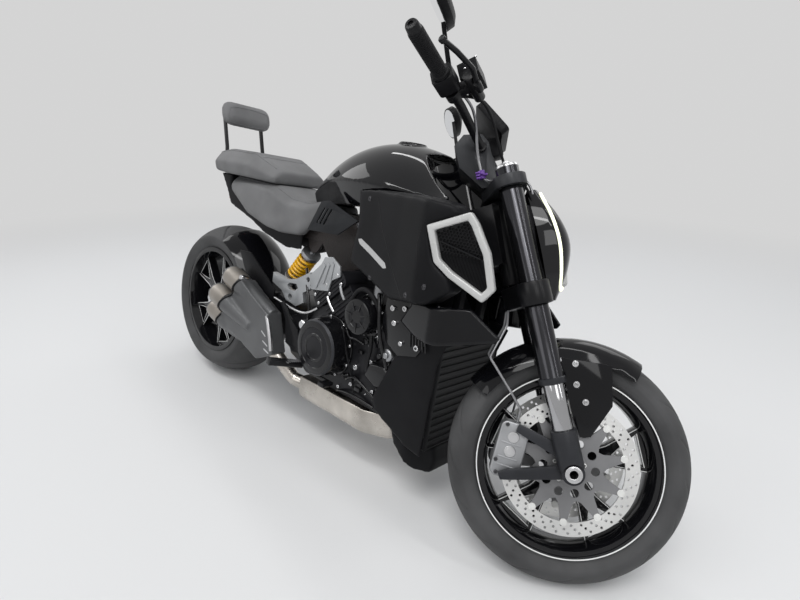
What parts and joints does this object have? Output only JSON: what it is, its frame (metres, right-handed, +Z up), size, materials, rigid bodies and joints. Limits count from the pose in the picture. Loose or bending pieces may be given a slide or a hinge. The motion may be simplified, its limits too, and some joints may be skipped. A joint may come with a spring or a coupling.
{
  "type": "power cruiser motorcycle",
  "caption": "Muscular power cruiser motorcycle, parked leaning on its side stand with the handlebar turned to its left stop.",
  "frame": {"origin": "floor point under the middle of the parked motorcycle's bounding box", "axes": "+X forward along the motorcycle, +Y to its left, +Z up; it leans 11 degrees to +Y on its side stand"},
  "size_m": [2.1796, 0.7412, 1.3813],
  "materials": {
    "tyre_rubber": "matte tread rubber",
    "wheel_black": "gloss",
    "disc_steel": "ground",
    "bare_alloy": "satin, machined",
    "cast_alloy": "sand cast, grey",
    "black_alloy": "satin black coat",
    "fork_black": "gloss black anodised",
    "dark_chrome": "hard chrome",
    "engine_black": "satin black",
    "paint_black": "high gloss",
    "panel_black": "fine matte",
    "gloss_black": "gloss",
    "ring_silver": "satin silver",
    "seat_cover": "matte grained",
    "grip_rubber": "ribbed",
    "spring_yellow": "gloss coat",
    "exhaust_brown": "blasted, heat toned",
    "exhaust_steel": "satin",
    "chain_steel": "oiled",
    "lamp_black": "smooth lens and housing",
    "lamp_red": "clear red",
    "screen_glass": "smooth",
    "mirror_glass": "silvered",
    "lamp_glow": "light guide",
    "cup_amber": "pale translucent",
    "tie_purple": "moulded"
  },
  "bodies": {
    "chassis": {"front_sprocket": "chain_steel", "drive_chain": "chain_steel", "fuel_tank": "paint_black", "engine_block": "engine_black", "engine_covers": "engine_black", "head_plate": "ring_silver", "main_frame": "black_alloy", "rear_subframe": "cast_alloy", "rider_seat": "seat_cover", "passenger_seat": "seat_cover", "backrest_stays": "black_alloy", "backrest_pad": "seat_cover", "tail_unit": "panel_black", "tail_lamp": "lamp_red", "side_covers": "panel_black", "intake_rings": "ring_silver", "intake_grilles": "gloss_black", "side_panels": "panel_black", "exhaust_collector": "exhaust_steel", "exhaust_pipes": "exhaust_steel", "silencer": "exhaust_brown", "swingarm": "black_alloy", "shock_absorber": "cast_alloy", "shock_spring": "spring_yellow", "rear_hugger": "gloss_black", "rear_caliper": "bare_alloy", "arm_guards": "panel_black", "radiator": "black_alloy", "radiator_cowls": "panel_black", "side_blades": "gloss_black", "belly_pan": "panel_black", "footrests": "black_alloy", "stand_bracket": "black_alloy"},
    "steering_head": {"fork_tubes": "fork_black", "fork_sliders": "dark_chrome", "fork_feet": "black_alloy", "front_axle": "bare_alloy", "lower_yoke": "black_alloy", "upper_yoke": "black_alloy", "handlebar": "black_alloy", "grips": "grip_rubber", "switch_pods": "panel_black", "hand_levers": "black_alloy", "fluid_cups": "cup_amber", "mirrors": "panel_black", "display": "screen_glass", "headlamp": "lamp_black", "front_mudguard": "gloss_black", "front_calipers": "bare_alloy", "brake_hoses": "grip_rubber"},
    "front_wheel_set": {"front_tyre": "tyre_rubber", "front_wheel": "wheel_black", "front_discs": "disc_steel"},
    "rear_wheel_set": {"rear_tyre": "tyre_rubber", "rear_wheel": "wheel_black", "rear_axle": "bare_alloy", "rear_disc": "disc_steel", "rear_sprocket": "chain_steel"},
    "stand": {"side_stand": "black_alloy"}
  },
  "joints": [
    {"name": "steering", "type": "hinge", "parent": "chassis", "child": "steering_head", "pos_m": [0.79914, -0.07952, 0.27341], "axis": [-0.432, 0.1721, 0.8853], "range_deg": [-68, 0]},
    {"name": "front_wheel_spin", "type": "hinge", "parent": "steering_head", "child": "front_wheel_set", "pos_m": [0.82221, -0.06048, 0.28097], "axis": [-0.5043, 0.7677, -0.3953], "continuous": true},
    {"name": "rear_wheel_spin", "type": "hinge", "parent": "chassis", "child": "rear_wheel_set", "pos_m": [-0.76583, -0.07026, 0.32107], "axis": [0, 0.9816, -0.1908], "continuous": true},
    {"name": "side_stand_fold", "type": "hinge", "parent": "chassis", "child": "stand", "pos_m": [-0.02468, 0.05328, 0.17051], "axis": [0.0832, 0.7799, 0.6204], "range_deg": [0, 105]}
  ]
}
